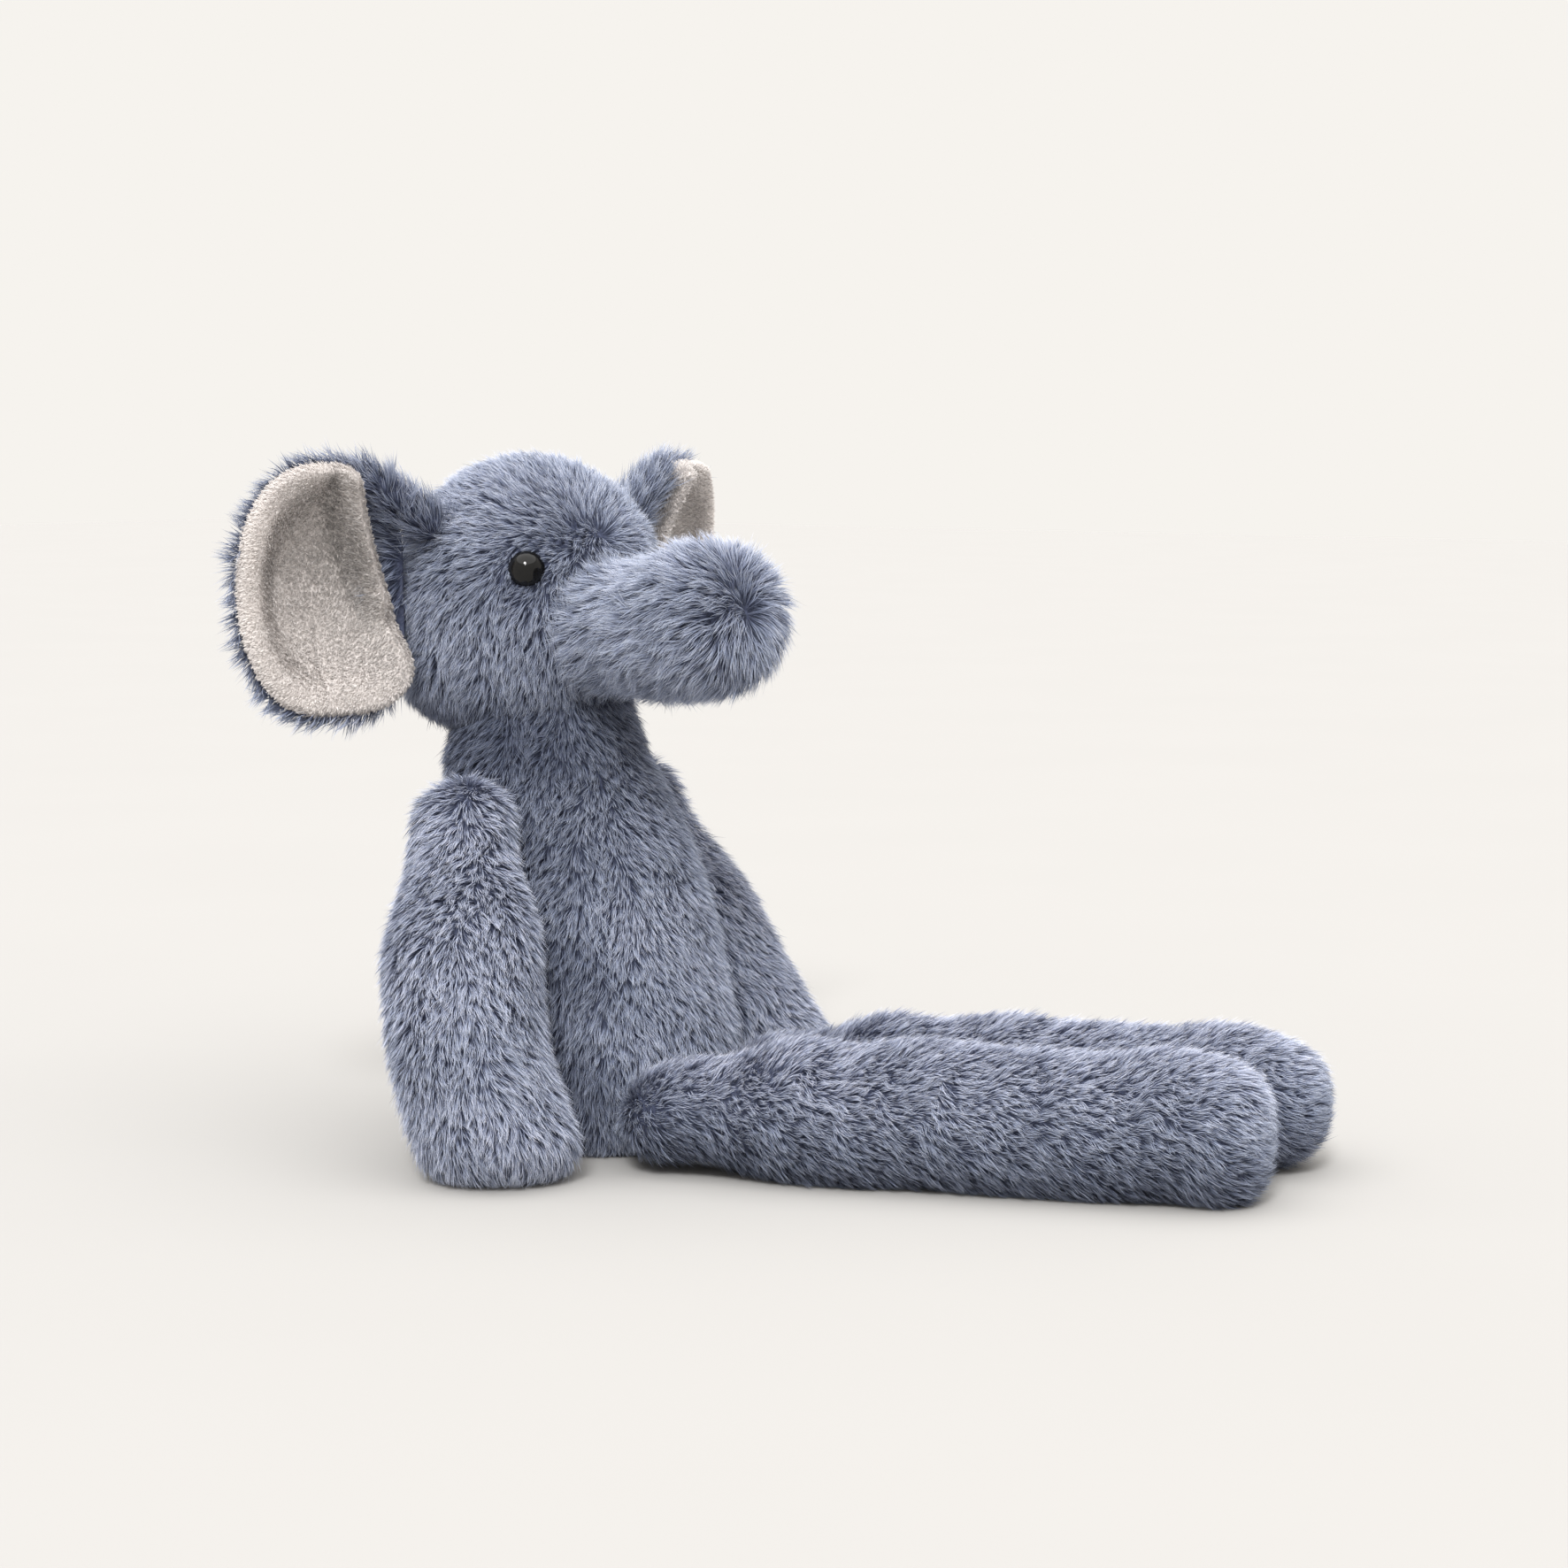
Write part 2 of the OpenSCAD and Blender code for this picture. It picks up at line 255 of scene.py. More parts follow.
def tube_depth(m, spec, p):
    """How far p lies inside a tube's root, in millimetres; negative outside it."""
    q = local(m, p)
    prof = tube_outline(spec, 0, 80)
    r = np.hypot(q[:, 0], q[:, 1])
    wall = np.interp(q[:, 2], prof[:, 1], prof[:, 0], left=OUTSIDE, right=OUTSIDE)
    return np.where(q[:, 2] < ROOT_REACH, wall - r, OUTSIDE)


def head_depth(p):
    q = local(HEAD_FRAME, p) / np.array([HEAD_R, HEAD_R, HEAD_HALF_H])
    return (1 - np.linalg.norm(q, axis=1)) * HEAD_R


def torso_depth(p):
    q = local(TORSO_FRAME, p)
    inside = torso_radius(q[:, 2]) - np.hypot(q[:, 0], q[:, 1])
    return np.where((q[:, 2] > TORSO_TOP) | (q[:, 2] < -TORSO_BELOW), OUTSIDE, inside)


def buried(name, p):
    """True where p lies so deep in another part that no pose should bring it out."""
    limbs = {"trunk": (TRUNK_FRAME, TRUNK)}
    for side, word in SIDES:
        limbs[f"{word}_arm"] = (arm_frame(side), ARM)
        limbs[f"{word}_leg"] = (leg_frame(side), LEG)
    hidden = np.zeros(len(p), bool)
    for other, (m, spec) in limbs.items():
        if other != name:
            hidden |= tube_depth(m, spec, p) > CLOSE + 4
    near_root = np.ones(len(p), bool)
    if name in limbs:
        near_root = local(limbs[name][0], p)[:, 2] < ROOT_REACH
    if name != "torso":
        hidden |= (torso_depth(p) > (DEEP if name == "head" else CLOSE)) & near_root
    if name != "head":
        hidden |= (head_depth(p) > (DEEP if name == "torso" else CLOSE)) & near_root
    return hidden


# ---- meshes ----


def make(name, points, faces, material, smooth_faces=True):
    mesh = bpy.data.meshes.new(name)
    mesh.from_pydata((np.asarray(points) * MM).tolist(), [], [list(map(int, f)) for f in faces])
    if smooth_faces:
        mesh.shade_smooth()
    mesh.materials.append(material)
    o = bpy.data.objects.new(name, mesh)
    bpy.context.scene.collection.objects.link(o)
    return o


def grid_faces(rows, columns):
    i, j = np.meshgrid(np.arange(rows - 1), np.arange(columns), indexing="ij")
    k = (j + 1) % columns
    f = np.stack([i * columns + j, i * columns + k, (i + 1) * columns + k, (i + 1) * columns + j], -1)
    return f.reshape(-1, 4).tolist()


def skin_piece(name, grid, material):
    """A closed skin; its first and last rows are small rings."""
    rows, columns = grid.shape[:2]
    faces = grid_faces(rows, columns)
    faces.append(list(range(columns))[::-1])
    faces.append([(rows - 1) * columns + j for j in range(columns)])
    o = make(name, grid.reshape(-1, 3), faces, material)
    bm_normals(o)
    return o


def bm_normals(o):
    """Turns every face outwards."""
    bm = bmesh.new()
    bm.from_mesh(o.data)
    bmesh.ops.recalc_face_normals(bm, faces=bm.faces)
    bm.to_mesh(o.data)
    bm.free()


LEVELS = np.array([0.0, 0.52, 1.0])       # places along a hair
WIDTHS = np.array([1.0, 0.74])            # of its full width there
HAIR_VERTS, HAIR_LOOPS = 5, 7


def hairs(name, root, lean, rise, length, width, tone, pull, material, floor=FLOOR_CLEAR):
    """One mesh of tapered curved hairs. A hair starts along rise and ends along lean; pull moves
    its tip, which draws the hairs of a tuft together."""
    n = len(root)
    t = LEVELS[:, None, None]
    mid = t - t * t / 2
    curve = root + length[:, None] * (rise * mid + lean * (t * t / 2)) * 1.25 + pull * t ** 1.6
    curve[..., 2] = np.maximum(curve[..., 2], floor)
    ahead = unit(np.diff(curve, axis=0))
    ahead = np.concatenate([ahead, ahead[-1:]])
    side = unit(np.cross(ahead, rise))
    spin = RNG.uniform(-1.0, 1.0, n)[:, None]
    side = unit(side * np.cos(spin) + np.cross(ahead, side) * np.sin(spin))
    half = side[:2] * (width[:, None] * WIDTHS[:, None, None] / 2)
    rows = np.concatenate([
        np.stack([curve[:2] - half, curve[:2] + half], 2).transpose(1, 0, 2, 3).reshape(n, 4, 3),
        curve[2][:, None]], 1)
    verts = (rows.reshape(-1, 3) * MM).astype(np.float32)
    first = np.arange(n)[:, None]
    loops = (first * HAIR_VERTS + np.array([0, 1, 3, 2, 2, 3, 4])).astype(np.int32)
    starts = (first * HAIR_LOOPS + np.array([0, 4])).astype(np.int32)
    mesh = bpy.data.meshes.new(name)
    mesh.vertices.add(len(verts))
    mesh.vertices.foreach_set("co", verts.ravel())
    mesh.loops.add(loops.size)
    mesh.loops.foreach_set("vertex_index", loops.ravel())
    mesh.polygons.add(starts.size)
    mesh.polygons.foreach_set("loop_start", starts.ravel())
    mesh.update(calc_edges=True)
    mesh.shade_smooth()
    uv = mesh.uv_layers.new(name=UV_MAP)
    across = np.clip(tone[:, None] + np.array([-1, 1, 1, -1, -1, 1, 0]) * 0.0015, 0.01, 0.99)
    up = np.broadcast_to(LEVELS[[0, 0, 1, 1, 1, 1, 2]] * 0.98 + 0.01, across.shape)
    uv.data.foreach_set("uv", np.stack([across, up], -1).astype(np.float32).ravel())
    mesh.materials.append(material)
    o = bpy.data.objects.new(name, mesh)
    bpy.context.scene.collection.objects.link(o)
    return o


def fur(name, part, skin, comb, body, slot="fur", density=1.9, length=8.8, width=0.32, lift=18.0,
        tuft=2.5, keep=None, lighten=None, rough=0.22, split=None, length_at=None, pile=None):
    """Grows fur on a skin. comb(points, normals, along) gives the direction that it lies in."""
    rng = RNG
    p, n, along = skin.scatter(density, rng)
    stay = ~buried(part, p)
    if keep is not None:
        stay &= keep(p)
    p, n, along = p[stay], n[stay], along[stay]
    count = len(p)
    # tufts: each hair's tip is drawn to the tip of the nearest of these
    heads = rng.permutation(count)[: max(1, int(count / (density * tuft * tuft)))]
    tree = KDTree(len(heads))
    for i, h in enumerate(heads):
        tree.insert(p[h], i)
    tree.balance()
    near = heads[np.array([tree.find(q)[1] for q in p])]
    ways = flat_on(n, comb(p, n, along))
    swing = lumps(p, 16, 3) * 0.30 + lumps(p, 6, 4) * 0.22
    tuft_swing = rng.normal(0, rough, count)[near] + rng.normal(0, rough * 0.45, count)
    angle = (swing + tuft_swing)[:, None]
    ways = unit(ways * np.cos(angle) + np.cross(n, ways) * np.sin(angle))
    raise_by = np.radians(lift + rng.normal(0, 7, count)[near] + rng.normal(0, 5, count))[:, None]
    lean = unit(ways * np.cos(raise_by * 0.55) + n * np.sin(raise_by * 0.55))
    rise = unit(ways * np.cos(raise_by + 0.45) + n * np.sin(raise_by + 0.45))
    lengths = length * (0.86 + 0.10 * rng.normal(0, 1, count)[near] + 0.13 * rng.normal(0, 1, count))
    if length_at is not None:
        lengths = lengths * length_at(p)
    lengths = np.clip(lengths, 0.3 * length, 1.5 * length)
    pull = (p[near] - p) * rng.uniform(0.35, 0.85, count)[:, None]
    tone = 0.5 + 0.09 * lumps(p, 34, 8) + 0.06 * rng.normal(0, 1, count)[near]
    tone = tone + 0.09 * rng.normal(0, 1, count)
    # painted light and shade of where each hair grows go into its tone
    if lighten is not None:
        tone = tone + lighten(p, n)
    widths = width * rng.uniform(0.75, 1.25, count)
    groups = [np.ones(count, bool)] if split is None else split(p)
    made = []
    for i, g in enumerate(groups):
        label = name if len(groups) == 1 else f"{name}_{i + 1}"
        o = hairs(label, p[g], lean[g], rise[g], lengths[g], widths[g], tone[g], pull[g], pile or FUR)
        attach(o, body)
        made.append(o)
    return made


# ---- materials ----


def material(name, **sockets):
    """A new material with constants on its Principled shader: (material, nodes, links, shader)."""
    m = bpy.data.materials.new(name)
    m.use_nodes = True
    shader = m.node_tree.nodes["Principled BSDF"]
    for socket, value in sockets.items():
        shader.inputs[socket.replace("_", " ")].default_value = value
    return m, m.node_tree.nodes, m.node_tree.links, shader


def ramp(nodes, stops):
    node = nodes.new("ShaderNodeValToRGB")
    line = node.color_ramp.elements
    while len(line) < len(stops):
        line.new(0.5)
    for element, (at, colour) in zip(line, stops):
        element.position = at
        element.color = (*colour, 1)
    return node


def product(nodes, links, *sources):
    """Multiplies what it is given; with one source, by what its second socket is set to."""
    node = nodes.new("ShaderNodeVectorMath")
    node.operation = "MULTIPLY"
    for source, socket in zip(sources, node.inputs):
        links.new(source, socket)
    return node


def noise_tint(nodes, links, shader, place, scale, low, high, detail=2.0):
    """Makes the shader's colour a fine noise between two (position, colour) stops."""
    noise = nodes.new("ShaderNodeTexNoise")
    noise.inputs["Scale"].default_value = scale
    noise.inputs["Detail"].default_value = detail
    links.new(place, noise.inputs["Vector"])
    tint = ramp(nodes, [low, high])
    links.new(noise.outputs[0], tint.inputs[0])
    links.new(tint.outputs[0], shader.inputs["Base Color"])
    return noise


def pile_material(name, along_stops, shade_stops, hue_stops, sheen):
    """Hairs whose colour goes from root to tip and differs from hair to hair; their tone also carries
    painted light and shade.
    """
    m, nodes, links, shader = material(name, Roughness=0.62)
    shader.inputs["Specular IOR Level"].default_value = 0.35
    shader.inputs["Sheen Weight"].default_value = sheen
    shader.inputs["Sheen Roughness"].default_value = 0.5
    uv = nodes.new("ShaderNodeUVMap")
    uv.uv_map = UV_MAP
    split = nodes.new("ShaderNodeSeparateXYZ")
    links.new(uv.outputs[0], split.inputs[0])
    along = ramp(nodes, along_stops)
    links.new(split.outputs[1], along.inputs[0])
    # across the map: each hair's tone, its painted light and shade included
    shade = ramp(nodes, shade_stops)
    links.new(split.outputs[0], shade.inputs[0])
    scale = product(nodes, links, uv.outputs[0])
    scale.inputs[1].default_value = (190, 5, 1)
    noise = nodes.new("ShaderNodeTexNoise")
    noise.inputs["Scale"].default_value = 1.0
    noise.inputs["Detail"].default_value = 2.0
    links.new(scale.outputs[0], noise.inputs["Vector"])
    hue = ramp(nodes, hue_stops)
    links.new(noise.outputs[0], hue.inputs[0])
    shaded = product(nodes, links, along.outputs[0], shade.outputs[0])
    coloured = product(nodes, links, shaded.outputs[0], hue.outputs[0])
    links.new(coloured.outputs[0], shader.inputs["Base Color"])
    return m


def cloth_material(name, low, high, size_mm, roughness, bump=0.3, bump_mm=0.4, stretch=(1, 1, 1),
                   detail=3.0):
    """Woven, knitted or felted cloth: two shades in a fine noise, with bumps to match."""
    m, nodes, links, shader = material(name, Roughness=roughness)
    shader.inputs["Specular IOR Level"].default_value = 0.2
    coords = nodes.new("ShaderNodeTexCoord")
    mapping = nodes.new("ShaderNodeMapping")
    mapping.inputs["Scale"].default_value = stretch
    links.new(coords.outputs["Object"], mapping.inputs[0])
    noise = noise_tint(nodes, links, shader, mapping.outputs[0], 1 / (size_mm * MM),
                       (0.32, low), (0.68, high), detail)
    rise = nodes.new("ShaderNodeBump")
    rise.inputs["Strength"].default_value = bump
    rise.inputs["Distance"].default_value = bump_mm * MM
    links.new(noise.outputs[0], rise.inputs["Height"])
    links.new(rise.outputs[0], shader.inputs["Normal"])
    return m


def eye_material():
    m, nodes, links, shader = material("eye_black", Roughness=0.03)
    shader.inputs["Specular IOR Level"].default_value = 0.28
    coords = nodes.new("ShaderNodeTexCoord")
    noise_tint(nodes, links, shader, coords.outputs["Object"], 1200,
               (0.3, (0.0035, 0.0035, 0.0035)), (0.7, (0.006, 0.0055, 0.005)))
    return m


FUR = pile_material(
    "fur_pile",
    [(0.0, (0.038, 0.047, 0.084)), (0.30, (0.100, 0.119, 0.182)),
     (0.62, (0.272, 0.310, 0.405)), (1.0, (0.590, 0.632, 0.715))],
    [(0.0, (0.34, 0.36, 0.42)), (0.5, (0.96, 0.97, 0.99)), (1.0, (1.52, 1.46, 1.42))],
    [(0.3, (0.93, 0.97, 1.06)), (0.7, (1.06, 1.01, 0.96))], 0.12)
VELOUR = pile_material(
    "velour_pile",
    [(0.0, (0.500, 0.465, 0.450)), (0.5, (0.720, 0.680, 0.660)), (1.0, (0.880, 0.840, 0.820))],
    [(0.0, (0.42, 0.42, 0.42)), (0.5, (0.94, 0.94, 0.94)), (1.0, (1.18, 1.18, 1.17))],
    [(0.3, (0.97, 0.99, 1.02)), (0.7, (1.03, 1.00, 0.97))], 0.2)
BACKING = cloth_material("fur_cloth", (0.040, 0.048, 0.085), (0.085, 0.098, 0.155), 1.6, 0.95)
LINING = cloth_material("lining_velour", (0.500, 0.465, 0.450), (0.640, 0.600, 0.580), 1.1, 0.9,
                        bump=0.55, bump_mm=0.6, detail=4.0)
FIBRE = cloth_material("fibre_fill", (0.78, 0.78, 0.76), (0.92, 0.92, 0.90), 4.0, 0.95, bump_mm=1.5)
POUCH = cloth_material("pouch_weave", (0.70, 0.69, 0.65), (0.85, 0.84, 0.80), 0.6, 0.9)
PELLET = cloth_material("pellet_plastic", (0.82, 0.82, 0.80), (0.90, 0.90, 0.88), 3.0, 0.4, bump_mm=0.1)
THREAD = cloth_material("seam_thread", (0.070, 0.080, 0.130), (0.120, 0.135, 0.200), 0.5, 0.8,
                        stretch=(1, 1, 3))
WASHER = cloth_material("washer_plastic", (0.75, 0.75, 0.74), (0.84, 0.84, 0.83), 2.0, 0.45, bump_mm=0.05)
EYE = eye_material()


# ---- shapes of the stuffed parts: what sewing and stuffing do to the plain forms ----


def arm_shape(side):
    """The right arm bows outwards above its hand, which turns in; the left one hangs close."""
    def shape(p):
        p = p.copy()
        t = np.clip(p[..., 2] / ARM[0], 0, 1)
        if side < 0:
            upper = np.exp(-((t - 0.20) / 0.24) ** 2)
            p[..., 1] *= 1 + 0.30 * upper
            p[..., 0] += 5.5 * np.sin(t * math.pi) - 9.0 * smooth((t - 0.6) / 0.4)
        else:
            p[..., 0] -= 6.0 * np.sin(t * math.pi)
            p[..., :2] *= (0.95 - 0.20 * (1 - smooth(t / 0.3)))[..., None]
        return p
    return shape


def head_shape(p):
    """The back of the head is full low down, where it runs into the neck."""
    p = p.copy()
    low = np.exp(-((p[..., 2] / HEAD_HALF_H + 0.74) / 0.30) ** 2)
    behind = smooth(0.45 + 0.75 * p[..., 1] / HEAD_R)
    p[..., :2] *= (1 + 0.30 * low * behind)[..., None]
    return p


def torso_shape(p):
    """The neck is full at the back."""
    p = p.copy()
    high = np.exp(-((p[..., 2] - 138) / 20) ** 2)
    behind = smooth(0.5 + 0.8 * p[..., 1] / NECK_R)
    p[..., :2] *= (1 + 0.30 * high * behind)[..., None]
    return p


def leg_shape(side):
    """Soft unevenness along a leg, which is slimmer at its root. The left one is a little shorter,
    and its toe is slimmer and slightly raised."""
    def shape(p):
        p = p.copy()
        t = p[..., 2] / LEG[0]
        root = 1 - smooth(t / 0.25)
        p[..., 1] = p[..., 1] * (1 - 0.16 * root) - 2.0 * root
        p[..., 1] += 0.9 * np.sin(t * 17.0) + 0.5 * np.sin(t * 31.0 + 1)
        if side > 0:
            toe = smooth((t - 0.78) / 0.22)
            p[..., 1] = p[..., 1] * (1 - 0.20 * toe) + 1.0 * toe
            p[..., 2] *= 0.965
        return p
    return shape


def trunk_shape(p):
    """The trunk is slimmer behind its rounded end, most of all on top."""
    p = p.copy()
    above = smooth(0.5 + p[..., 1] / TRUNK[2])
    waist = np.exp(-(((p[..., 2] - 27) / 15) ** 2)) * (0.03 + 0.15 * above)
    p[..., :2] *= (1 - waist)[..., None]
    return p


def build_part(name, body, grid_at, nodes, comb, floor=0.0, **kw):
    """A stuffed part: its fur cloth, its stuffing and its fur."""
    skin = Skin(grid_at(2.4), floor + 0.6 if floor is not None else NO_FLOOR)
    cloth = skin_piece(f"{name}_skin", skin.p, BACKING)
    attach(cloth, body)
    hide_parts(nodes[0])
    inner = grid_at(CLOTH + 1.6)
    q = inner.reshape(-1, 3)
    q = q + 0.9 * lumps(q, 14, 5)[:, None] * unit(q - q.mean(0))
    q[:, 2] = np.maximum(q[:, 2], CLOTH)
    fill_piece = skin_piece(f"{name}_fill", q.reshape(inner.shape), FIBRE)
    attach(fill_piece, body)
    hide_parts(nodes[1])
    return fur(f"{name}_fur", name, skin, comb, body, **kw)


def down(p, n, along):
    return np.broadcast_to([0, 0.15, -1.0], p.shape)


def from_the_tip(p, n, along):
    """Back from the trunk's tip, in a whirl there, and down its sides."""
    return -along + 0.25 * np.cross(n, along) + np.array([0, 0, -0.75])


def limb(p, n, along):
    return along + np.array([0, 0, -0.25])


def hanging(p, n, along):
    """Down an arm, also over its round shoulder."""
    below = smooth((SHOULDER[2] - 4 - p[:, 2]) / 26)[:, None]
    return along * (0.15 + 0.85 * below) + np.array([0, 0.12, -1.0]) * (1 - below)


def head_comb(p, n, along):
    """Away from the brow: back over the top of the head, and down over its sides."""
    q = local(HEAD_FRAME, p) / HEAD_R
    top = smooth((q[:, 2] + 0.1) / 0.9)[:, None]
    way = np.array([0, 0.25, -1.0]) * (1 - top) + 2.4 * top * unit(q - np.array([0, -0.95, 0.55]))
    return way @ HEAD_FRAME[:3, :3].T


EYE_BEHIND = -12.0     # an eye changes the fur only ahead of this, along its own axis


def off_the_eyes(p):
    stay = np.ones(len(p), bool)
    for side in (-1, 1):
        q = local(eye_frame(side), p)
        stay &= ~((np.hypot(q[:, 0], q[:, 1]) < EYE_R - 1.9) & (q[:, 2] > EYE_BEHIND))
    return stay


def short_by_the_eyes(p):
    factor = np.ones(len(p))
    for side in (-1, 1):
        q = local(eye_frame(side), p)
        away = np.hypot(q[:, 0], q[:, 1])
        shorter = np.minimum(factor, 0.60 + 0.40 * smooth((away - 6) / 8))
        factor = np.where(q[:, 2] > EYE_BEHIND, shorter, factor)
    return factor


def lit_from_above(strength, base=0.0):
    return lambda p, n: strength * n[:, 2] + base


def torso_painted_shade(p, n):
    """Painted shade round the neck and beside the arms, where little light comes; painted light in front
    and on top.
    """
    neck = 0.34 * np.exp(-((p[:, 2] - 150) / 26) ** 2)
    sides = 0.30 * np.exp(-((np.abs(p[:, 0]) - 40) / 13) ** 2)
    front = 0.16 * smooth(-n[:, 1] - 0.1) * smooth((110 - p[:, 2]) / 40)
    return 0.16 * n[:, 2] - 0.04 - neck - sides + front


def head_painted_shade(p, n):
    """Painted light on top and painted shade under the chin; darker about the eyes."""
    tone = 0.20 * n[:, 2] - 0.02 - 0.30 * smooth((-n[:, 2] - 0.30) / 0.5)
    for side in (-1, 1):
        q = local(eye_frame(side), p)
        tone = tone - 0.30 * np.exp(-((np.hypot(q[:, 0], q[:, 1]) / 9) ** 4))
    return tone


def torso_grid(inset):
    return lathe(torso_outline(inset, 70), TORSO_FRAME, 96, torso_shape)


def head_grid(inset):
    a = np.radians(np.linspace(-89.5, 89.5, 64))[::-1]
    profile = np.stack([(HEAD_R - inset) * np.cos(a), (HEAD_HALF_H - inset) * np.sin(a)], 1)
    return lathe(profile, HEAD_FRAME, 96, head_shape)


def tube_grid(spec, m, shape=None, rows=70, columns=72):
    return lambda inset: lathe(tube_outline(spec, inset, rows), m, columns, shape)


def halves(axis_point, direction):
    """Splits points into the two sides of a plane."""
    def split(p):
        ahead = (p - axis_point) @ np.asarray(direction) > 0
        return [ahead, ~ahead]
    return split


HEAD_SPLIT = np.array([0, 40.0, 186.0])
TORSO_SPLIT_Y = 15.0


def thirds(p):
    """Splits points in three: behind, and in front on either side."""
    behind, left = p[:, 1] > TORSO_SPLIT_Y, p[:, 0] > 0
    return [behind, ~behind & left, ~behind & ~left]


build_part("torso", "torso", torso_grid, ("torso_shell", "torso_stuffing"), down,
           density=2.9, length=6.0, width=0.25, lift=31, tuft=1.5, lighten=torso_painted_shade,
           split=thirds)
build_part("head", "head", head_grid, ("head_shell", "head_stuffing"), head_comb, floor=None,
           density=3.0, length=6.2, width=0.25, lift=31, tuft=1.5, rough=0.28, keep=off_the_eyes,
           lighten=head_painted_shade, length_at=short_by_the_eyes,
           split=halves(HEAD_SPLIT, (0.2, 0.98, 0)))
build_part("trunk", "trunk", tube_grid(TRUNK, TRUNK_FRAME, trunk_shape), ("trunk_shell", "trunk_stuffing"),
           from_the_tip, floor=None, density=2.8, length=8.8, width=0.27, lift=27, rough=0.28,
           tuft=2.0, lighten=lit_from_above(0.16))
for side, word in SIDES:
    build_part(f"{word}_arm", f"{word}_arm", tube_grid(ARM, arm_frame(side), arm_shape(side)),
               (f"{word}_arm_shell", f"{word}_arm_stuffing"), hanging, density=3.0, length=6.4,
               width=0.25, lift=31, tuft=1.5, rough=0.24, lighten=lit_from_above(0.20, 0.17))
    build_part(f"{word}_leg", f"{word}_leg", tube_grid(LEG, leg_frame(side), leg_shape(side), rows=90),
               (f"{word}_leg_shell", f"{word}_leg_stuffing"), limb, density=3.0, length=5.8,
               width=0.25, lift=32, tuft=1.5, rough=0.24, lighten=lit_from_above(0.50, -0.04),
               split=halves(HIP, (0, 0, 1)))
tail_skin = Skin(tube_grid(TAIL, TAIL_FRAME, rows=40, columns=28)(1.2), 0.6)
tail = skin_piece("tail_skin", tail_skin.p, BACKING)
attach(tail, "tail")
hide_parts("tail")
fur("tail_fur", "tail", tail_skin, limb, "tail", density=2.2, length=7.0, lift=14, tuft=1.8)


# ---- ears ----


EAR_ANGLES = np.linspace(0, 2 * math.pi, 144, endpoint=False)


def ear_edge(a, inset):
    """The ear's outline at angles a, as (x, z) in the ear's frame."""
    half_w = EAR_W / 2 + 2
    c, s = np.cos(a), np.sin(a)
    p = np.where((c > 0) & (s > 0), 0.96, np.where((c < 0) & (s < 0), 0.70, 0.82))
    x = EAR_W - half_w + (half_w - inset) * np.sign(c) * np.abs(c) ** p
    z = (EAR_H / 2 - inset) * np.sign(s) * np.abs(s) ** p
    return x, z


def ear_cup(x, z, behind):
    """The y of the ball that the ear is part of, at a distance behind its surface."""
    r = EAR_CUP_R + behind
    return EAR_BALL_Y + np.sqrt(np.maximum(r * r - (x - EAR_W / 2 - EAR_BALL_OUT) ** 2 - z * z, 1))


def ear_sheet(ex, ez, behind, rows):
    """Rows from the ear's middle out to an edge, laid on the ball that the ear is part of."""
    t = np.linspace(0.02, 1, rows)[:, None]
    x, z = EAR_MID + (ex - EAR_MID) * t, ez * t
    return np.stack([x, ear_cup(x, z, behind), z], -1)


def lining_edge(a):
    """The lining's outline: wide below, with a full lower corner beside the head, and cut back
    beside the head above."""
    c, s = np.cos(a), np.sin(a)
    corner = (c < 0) & (s < 0)
    x = EAR_MID + 1 + (26.0 + 9.5 * (c < 0)) * np.sign(c) * np.abs(c) ** np.where(corner, 0.62, 0.82)
    z = (EAR_H / 2 - 2.5) * np.sign(s) * np.abs(s) ** np.where(corner, 0.66, 0.86)
    cut = 6.4 + 0.34 * z
    return cut + np.logaddexp(0, (x - cut) / 2.0) * 2.0, z


def lining_folds(x, z, t):
    """How far the lining bulges forwards: a broad roll along its outer and lower edge, a narrow
    strip folded over beside the head with a deep crease next to it, and a pinch at its top."""
    inner = x - (6.4 + 0.32 * z)
    outer = smooth((x - 4 - 0.1 * z) / 10 + smooth((-z - 8) / 20))
    roll = 4.6 * np.exp(-((t - 0.81) / 0.16) ** 2) * outer
    upper = smooth((z + 14) / 12) * smooth((42 - z) / 6)
    strip = 6.8 * np.exp(-((inner - 3.2) / 2.6) ** 4) * upper
    crease = -2.4 * np.exp(-((inner - 9.0) / 3.0) ** 2) * upper
    cup = -1.9 * np.exp(-((inner - 14) / 12) ** 2) * np.exp(-((z + 2) / 24) ** 2)
    pinch = -2.4 * np.exp(-(((x - 29) / 4.5) ** 2 + ((z - 31) / 4.0) ** 2))
    brow = 3.0 * np.exp(-(((x - 31) / 10) ** 2 + ((z - 39) / 4.0) ** 2))
    return roll + strip + crease + cup + pinch + brow


def ear_fold(m, word, body):
    """Fur cloth folded over where the top of the ear runs into the head."""
    low, high = np.array([-9.0, -5.0, 21.0]), np.array([17.0, -5.0, 40.0])
    z = unit(high - low)
    x = unit(np.cross([0, 1.0, 0], z))
    here = np.eye(4)
    here[:3, 0], here[:3, 1], here[:3, 2], here[:3, 3] = x, np.cross(z, x), z, low
    spec = (float(np.linalg.norm(high - low)), 7.0, 6.5, 5.0, 8.0, 6.0)
    skin = Skin(lathe(tube_outline(spec, 2.0, 34), m @ here, 40), NO_FLOOR)
    cloth = skin_piece(f"{word}_ear_fold_skin", skin.p, BACKING)
    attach(cloth, body)

    def up_and_out(p, n, along):
        return along * 0.6 + np.array([0, 0, 1.0])

    fur(f"{word}_ear_fold_fur", "ear", skin, up_and_out, body, density=2.4, length=9.5, lift=26,
        lighten=lit_from_above(0.08))


